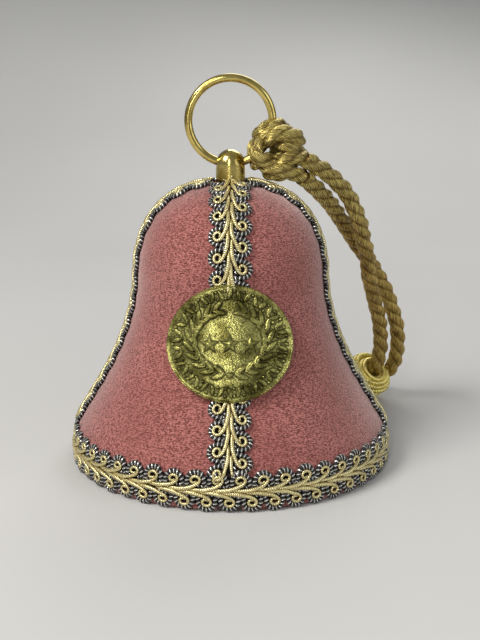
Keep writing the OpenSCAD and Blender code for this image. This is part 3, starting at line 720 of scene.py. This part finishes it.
# %% Bullion bands on the end knot
KNOT_AT = np.array((50.8, 53.8, 8.8))
turn_z, lean = math.radians(-50), math.radians(45)      # the knot's hollow leans up towards the strands
across_1 = np.array((math.cos(turn_z) * math.cos(lean), math.sin(turn_z) * math.cos(lean), -math.sin(lean)))
across_2 = np.array((-math.sin(turn_z), math.cos(turn_z), 0.0))
knot_axis = np.cross(across_1, across_2)
BEAD = 1.2
CORES = [(4.4, 4.3, 0), (3.1, 3.2, 0), (4.6, 1.6, 2.5), (4.6, -1.6, 2.5), (3.4, -4.5, 0), (1.3, -4.4, 1.1)]


def beaded(s, a):
    return 0.52 + 0.38 * np.abs(np.sin(math.pi * s / BEAD)) ** 0.6 + 0 * a


def round_knot(rr, hh, t):
    """Points round the knot's hollow, rr out from its axis and hh along it."""
    return KNOT_AT + rr * (np.cos(t)[:, None] * across_1 + np.sin(t)[:, None] * across_2) + hh * knot_axis


bands = []
t = np.linspace(0, 2 * math.pi, 260, endpoint=False)[:, None]
for course in (0, 1):
    for lane in (-1, 0, 1):
        section = 0.62 - 1.25 * course + lane * 0.36 + 0.22 * np.sin(t + 0.9 + math.pi * course)
        swell = 0.35 * np.cos(2 * t + math.pi * course)
        path = round_knot(4.2 + (3.7 + swell) * np.cos(section), (4.5 + swell) * np.sin(section), t[:, 0])
        bands.append(tube(path, beaded, sides=10, closed=True, v_unit=whole_repeats(path, BEAD)))
for rr, hh, core in CORES:      # out, along and radius of each; where the radius is 0 it is one more bullion
    bands.append(tube(round_knot(rr, hh, t[::5, 0]), core or beaded, sides=10, closed=True, v_unit=BEAD))
end_knot = piece("bullion_end_knot", bands, "winding", "cord_end_knot")
give(end_knot, bullion_gold)

# %% [markdown]
# ## The medallion
# The medallion is struck: one thin oval blank, with its whole design pressed up out of the metal in one
# blow. So it is modelled as a die does it, as one fine grid whose points are raised by the design, and then
# bent to the bell. The design is a laurel wreath round three stars, inside a border of leaves and pellets.
# The same design tells the material where tarnish stays, which is in the corners beside everything that is
# raised.

# %% The die, in millimetres
MEDAL_W, MEDAL_L, MEDAL_T = 37.0, 33.5, 1.2


def leaf(x, y, at, heading, length, width):
    """0 outside a pointed leaf and 1 on its back, with a groove down its middle; and the distance outside
    it."""
    c, s = math.cos(heading), math.sin(heading)
    a, b = (x - at[0]) * c + (y - at[1]) * s, -(x - at[0]) * s + (y - at[1]) * c
    a = a / (length / 2)
    wide = width / 2 * np.clip(1 - np.abs(a) ** 2.2, 0, 1)
    inside = np.clip(1 - np.abs(b) / np.maximum(wide, 1e-3), 0, 1)
    outside = np.hypot(np.maximum(np.abs(a) - 0.92, 0) * length / 2, np.maximum(np.abs(b) - wide, 0))
    return np.sqrt(inside) * (1 - 0.35 * np.exp(-(b / 0.14) ** 2)), outside


def star(x, y, at, size, points=5):
    """A faceted star: ridges to its points, valleys between."""
    r, a = np.hypot(x - at[0], y - at[1]), np.arctan2(x - at[0], y - at[1])
    part = np.abs((a + math.pi / points) % (2 * math.pi / points) - math.pi / points)
    inner, k = 0.42 * size, math.pi / points
    edge = inner * size * math.sin(k) / (size * np.sin(part) + inner * np.sin(k - part))
    return np.clip(1 - r / edge, 0, 1) ** 0.7, np.maximum(r - edge, 0)


def pellet(x, y, at, size):
    r = np.hypot(x - at[0], y - at[1])
    return np.sqrt(np.clip(1 - (r / size) ** 2, 0, 1)), np.maximum(r - size, 0)


# half width and half height of the laurel's stems, and how far up their middle is
WREATH = (10.9, 9.4, 0.7)
LEAVES = 38                    # in the border
FIELD_EDGE = 0.95              # shares of the way out to the rim
LEAF_AT, PELLETS_AT, RIM_AT = 0.83, (0.765, 0.893), 0.978


def on_wreath(side, degrees):
    a = math.radians(degrees)
    return np.array((side * WREATH[0] * math.cos(a), WREATH[2] + WREATH[1] * math.sin(a)))


def on_oval(share, a):
    return share * MEDAL_W / 2 * math.cos(a), share * MEDAL_L / 2 * math.sin(a)


def die(x, y):
    """Height of the design over the blank, and how much tarnish stays there."""
    marks = []                 # each is (shape, distance outside it) and its height
    for side in (-1, 1):
        for n in range(10):    # laurel leaves, in pairs up a bent stem
            degrees = -83 + n * 16.2
            a = math.radians(degrees)
            heading = math.atan2(WREATH[1] * math.cos(a), -side * WREATH[0] * math.sin(a))
            for out, open_by, length in ((-1, 30, 4.1), (1, 24, 4.5)):
                turn = heading - side * out * math.radians(open_by)
                at = on_wreath(side, degrees) + 2.15 * np.array((math.cos(turn), math.sin(turn)))
                marks.append((leaf(x, y, at, turn, length, 1.6), 0.75))
        for n in range(30):    # the stem
            marks.append((pellet(x, y, on_wreath(side, -86 + n * 5.4), 0.26), 0.4))
    marks.append((pellet(x, y, (0, -9.0), 0.75), 0.6))
    for n in range(LEAVES):    # the border
        a, b = 2 * math.pi * (n + 0.5) / LEAVES, 2 * math.pi * n / LEAVES
        at = on_oval(LEAF_AT, a)
        tilt = math.atan2(at[1] * MEDAL_W / MEDAL_L, at[0] * MEDAL_L / MEDAL_W)
        marks.append((leaf(x, y, at, tilt + 0.34 * (-1) ** n, 3.3, 1.35), 0.7))
        marks += [(pellet(x, y, on_oval(share, b), 0.42), 0.6) for share in PELLETS_AT]
    marks += [(star(x, y, (u, -0.2), 2.85), 1.0) for u in (-5.8, 0.0, 5.8)]
    height = np.max([raised * tall for (raised, _), tall in marks], axis=0)
    away = np.min([outside for (_, outside), _ in marks], axis=0)
    oval = np.hypot(x / (MEDAL_W / 2), y / (MEDAL_L / 2))
    rim = np.exp(-((oval - RIM_AT) / 0.013) ** 2)
    height = np.maximum(height * (oval < FIELD_EDGE), 0.4 * rim)
    corners = np.exp(-(away / 0.42) ** 1.6) * (oval < FIELD_EDGE) * (1 - 0.75 * np.clip(height / 0.42, 0, 1))
    border = np.exp(-((oval - 0.835) / 0.085) ** 4) * (1 - np.clip(height / 0.35, 0, 1))
    return height, np.maximum(corners, 0.62 * border)


# %% Strike and bend the blank
deselect()
bpy.ops.mesh.primitive_grid_add(x_subdivisions=210, y_subdivisions=210, size=2, location=(0, 0, 0))
medal = bpy.context.object
medal.name = "medallion_struck"
flat = np.array([v.co[:2] for v in medal.data.vertices])
# square to disc
reach = np.maximum(np.abs(flat).max(1), 1e-9) / np.maximum(np.linalg.norm(flat, axis=1), 1e-9)
u, v = flat[:, 0] * reach * MEDAL_W / 2, flat[:, 1] * reach * MEDAL_L / 2
height, tarnish = die(u, v)
MEDAL_AT, LEAN_BACK = 44.8, math.radians(17)            # height of its middle, and the wall's slope there
wall_at = float(np.interp(MEDAL_AT, outline[:, 1], outline[:, 0])) + 1.6     # over the braid
bend_r = wall_at + MEDAL_T + 1


def on_medal(u, v, out):
    """A point of the blank, out in front of its face, bent round the bell and leaned back like the CAD
    plate."""
    a, c, s = np.arcsin(u / bend_r), math.cos(LEAN_BACK), math.sin(LEAN_BACK)
    x, y = (bend_r + out) * np.sin(a), bend_r - MEDAL_T - (bend_r + out) * np.cos(a)
    return np.column_stack([x, y * c + v * s - wall_at / c, v * c - y * s + MEDAL_AT])


medal.data.vertices.foreach_set("co", (on_medal(u, v, height - 0.25) * MM).astype(np.float32).ravel())
mark = medal.data.attributes.new("tarnish", "FLOAT", "POINT")
mark.data.foreach_set("value", tarnish.astype(np.float32))
bpy.ops.object.mode_set(mode="EDIT")
bpy.ops.mesh.select_all(action="SELECT")
bpy.ops.mesh.normals_make_consistent(inside=False)
bpy.ops.object.mode_set(mode="OBJECT")
if sum(p.normal[1] for p in medal.data.polygons) > 0:   # its face looks towards -Y
    medal.data.flip_normals()
plate = medal.modifiers.new("plate", "SOLIDIFY")
plate.thickness, plate.offset = 0.9 * MM, -1
bpy.ops.object.modifier_apply(modifier="plate")
bpy.ops.object.shade_smooth_by_angle(angle=math.radians(50))
join_body(medal, "bell", "medallion")
print("medallion:", len(medal.data.vertices), "points")

# %% Struck brass, tarnished in its corners
struck, tree, bsdf = new_material("struck_brass", Metallic=0.85)
place = on_object(tree)
corner = add_node(tree, "ShaderNodeAttribute", attribute_name="tarnish").outputs["Fac"]
clouds = group_node(tree, blotch, Vector=place, Scale=230.0, Detail=6.0, Low=0.36, High=0.62)["Mask"]
grit = noise(tree, place, 1900.0, 4.0)
field = mix_colour(tree, clouds, rgb(0.40, 0.38, 0.17), rgb(0.74, 0.72, 0.42))
field = mix_colour(tree, span(tree, grit, 0.48, 0.66, 0.0, 0.75), field, rgb(0.25, 0.22, 0.08))
dark = math_node(tree, "MULTIPLY", corner, span(tree, grit, 0.3, 0.7, 0.8, 1.0), clamp=True)
surface(tree, bsdf, mix_colour(tree, dark, field, rgb(0.10, 0.085, 0.03)),
        span(tree, plus(tree, dark, times(tree, grit, 0.4)), 0.1, 1.2, 0.22, 0.6))
bump(tree, bsdf, grit, 0.6, 0.0002)
give(medal, struck)

# %% [markdown]
# ## The hanging ring, and loose threads
# The ring is polished round wire, bent to a circle and closed. Polish shows every facet, so it is modelled
# anew as a fine torus at the size of the CAD ring. Where the front braid was cut at the foot of the knob, a
# few of its gold threads have come loose. They stand up in front of the knob, clear of it, because the knob
# turns.

# %% Hanging ring
ring_low, ring_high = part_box("hanging_ring")
wire_r = (ring_high.y - ring_low.y) / 2
ring_r = (ring_high.x - ring_low.x) / 2 - wire_r
deselect()
bpy.ops.mesh.primitive_torus_add(major_radius=ring_r, minor_radius=wire_r, major_segments=160,
                                 minor_segments=28,
                                 location=(ring_low + ring_high) / 2, rotation=(math.pi / 2, 0, 0))
ring = bpy.context.object
ring.name = "ring_wire"
bpy.ops.object.transform_apply(location=True, rotation=True, scale=True)
bpy.ops.object.shade_smooth()
join_body(ring, "ring", "hanging_ring")
print("ring:", round(2 * (ring_r + wire_r) / MM, 2), "mm over,", round(2 * wire_r / MM, 2), "mm wire")

# %% Loose threads
threads = [[(-1.9, -6.3, 86.6), (-1.2, -5.8, 87.7), (-0.1, -5.3, 88.7), (0.7, -5.1, 89.5)],
           [(-0.7, -6.4, 86.5), (-1.3, -5.7, 87.8), (-2.2, -5.3, 88.4)],
           [(0.3, -6.4, 86.6), (0.5, -5.6, 87.7), (0.2, -5.2, 88.6), (0.6, -5.1, 89.0)],
           [(1.5, -6.4, 86.3), (1.8, -5.8, 87.4), (2.6, -5.5, 87.9)]]
loose = [tube(smooth(line, 0.2), 0.16, sides=6, v_unit=0.5) for line in threads]
give(piece("loose_threads", loose, "bell"), gold_braid)

# %% [markdown]
# ## Finishes of the parts that keep their CAD shape
# The turned knob, the ring and the bush are lacquered brass: warm, quite mirror-like, with hair scratches,
# and fine rings left by the lathe on the knob. The movement is stamped brass, plated steel and blued steel,
# and the hidden shell and floor are moulded plastic. Every one of them is the same recipe with other
# numbers: a base colour clouded by the shared blotches, and roughness that follows the clouds.

# %% Metal and plastic finishes
def hard_finish(name, colour, worn, metallic, smooth_part, rough_part, grain=900.0, depth=0.00002, lathe=0.0):
    """A clouded hard surface. lathe is the number of turned rings in a metre of height, or 0."""
    material, tree, bsdf = new_material(name, Metallic=metallic)
    place = on_object(tree)
    clouds = group_node(tree, blotch, Vector=place, Scale=180.0, Detail=5.0, Low=0.4, High=0.72)["Mask"]
    fine = noise(tree, place, grain, 4.0)
    dullness = plus(tree, times(tree, clouds, 0.5), times(tree, fine, 0.5))
    surface(tree, bsdf, mix_colour(tree, clouds, colour, worn),
            span(tree, dullness, 0.1, 0.8, smooth_part, rough_part))
    height = fine
    if lathe:
        cut = add_node(tree, "ShaderNodeTexNoise",
                       {"W": times(tree, parts_of(tree, place)[2], lathe), "Scale": 1.0,
                                                    "Detail": 3.0}, noise_dimensions="1D").outputs["Fac"]
        height = plus(tree, times(tree, cut, 1.6), times(tree, fine, 0.3))
    bump(tree, bsdf, height, 0.4, depth)
    return material


brass = (rgb(0.82, 0.74, 0.44), rgb(0.60, 0.51, 0.25), 1.0)
ring_brass = hard_finish("ring_brass", *brass, 0.12, 0.3, 500.0, 0.000004)
give(ring, ring_brass)
finishes = [
    (hard_finish("turned_brass", *brass, 0.14, 0.34, 1500.0, 0.00003, lathe=4200.0),
     "winding_knob crown_bush"),
    (hard_finish("stamped_brass", rgb(0.80, 0.66, 0.34), rgb(0.55, 0.43, 0.20), 1.0, 0.24, 0.5),
     "cylinder_pinion cylinder_wheel fan_bracket governor_fan great_wheel inner_bearing music_cylinder "
     "outer_bearing spring_barrel worm_wheel"),
    (hard_finish("machined_steel", rgb(0.66, 0.66, 0.68), rgb(0.42, 0.41, 0.42), 1.0, 0.22, 0.45),
     "base_cover_screws click click_pin comb comb_screws crown_nut cylinder_arbor governor_arbor "
     "movement_screws platform_screws ratchet_wheel winding_stem"),
    (hard_finish("blued_spring", rgb(0.20, 0.24, 0.36), rgb(0.38, 0.30, 0.26), 1.0, 0.2, 0.4),
     "click_spring mainspring"),
    (hard_finish("nickel_plate", rgb(0.80, 0.78, 0.74), rgb(0.58, 0.55, 0.50), 1.0, 0.16, 0.4),
     "comb_block movement_bedplate"),
    (hard_finish("moulded_shell", rgb(0.30, 0.22, 0.20), rgb(0.22, 0.16, 0.15), 0.0, 0.38, 0.6,
                 depth=0.00005),
     "bell_shell"),
    (hard_finish("moulded_cover", rgb(0.10, 0.10, 0.11), rgb(0.17, 0.17, 0.17), 0.0, 0.4, 0.62,
                 depth=0.00006),
     "base_cover movement_platform")]
for finish, nodes in finishes:
    for node in nodes.split():
        give(bpy.data.objects[node], finish)
    print(finish.name, "on", len(nodes.split()), "parts")

# %% [markdown]
# ## Floor and light
# The bell stands on a pale sweep: a floor that curves up into its own background, so there is no horizon. A
# large soft light high on the left models the velvet, a tall narrow one draws a bright line down knob, ring
# and braid, and a weak one opens the shadows on the right.

# %% Sweep
deselect()
bpy.ops.mesh.primitive_plane_add(size=6, location=(0, -1.6, 0))
sweep = bpy.context.object
sweep.name = "sweep"
bpy.ops.object.transform_apply(location=True)
bpy.ops.object.mode_set(mode="EDIT")
bpy.ops.mesh.select_mode(type="EDGE")
bpy.ops.mesh.select_all(action="DESELECT")
bpy.ops.object.mode_set(mode="OBJECT")


def choose_back_edge():
    """Selects the edge where the floor ends behind the bell, and opens the mesh for editing."""
    for edge in sweep.data.edges:
        ends = [sweep.data.vertices[v].co for v in edge.vertices]
        edge.select = all(co.y > 1 and co.z < 0.1 for co in ends)
    bpy.ops.object.mode_set(mode="EDIT")


choose_back_edge()
bpy.ops.mesh.extrude_region_move(TRANSFORM_OT_translate={"value": (0, 0, 3)})
bpy.ops.object.mode_set(mode="OBJECT")
choose_back_edge()
bpy.ops.mesh.bevel(offset=1.0, segments=24, affect="EDGES")
bpy.ops.object.mode_set(mode="OBJECT")
bpy.ops.object.shade_smooth()
paper, tree, bsdf = new_material("sweep_paper", Roughness=0.9, Specular_IOR_Level=0.15)
cloud = group_node(tree, blotch, Vector=on_object(tree), Scale=3.0, Detail=2.0, Low=0.2, High=0.8)["Mask"]
surface(tree, bsdf, mix_colour(tree, cloud, rgb(0.76, 0.755, 0.745), rgb(0.79, 0.785, 0.775)))
give(sweep, paper)
print("sweep:", len(sweep.data.polygons), "faces")

# %% Lights
MIDDLE = Vector((0, 0, 0.05))   # where every light points


def soft_light(name, at, size, power, size_y=None, colour=(1, 1, 1)):
    lamp = bpy.data.lights.new(name, "AREA")
    lamp.energy, lamp.size, lamp.color = power, size, colour
    if size_y:
        lamp.shape, lamp.size_y = "RECTANGLE", size_y
    obj = bpy.data.objects.new(name, lamp)
    bpy.context.scene.collection.objects.link(obj)
    obj.location = at
    obj.rotation_euler = (MIDDLE - Vector(at)).to_track_quat("-Z", "Y").to_euler()


soft_light("key", (-0.55, -0.40, 0.75), 0.4, 8.0, colour=(1.0, 0.98, 0.94))
soft_light("strip", (-0.16, -0.75, 0.34), 0.06, 1.6, size_y=0.6)
soft_light("fill", (0.75, -0.40, 0.35), 0.6, 1.6, colour=(0.94, 0.97, 1.0))
soft_light("back", (0.15, 0.70, 0.60), 0.5, 2.6)
world = bpy.data.worlds.new("studio")
world.use_nodes = True
feed(world.node_tree, world.node_tree.nodes["Background"], {"Color": (0.75, 0.78, 0.80, 1), "Strength": 0.36})
bpy.context.scene.world = world
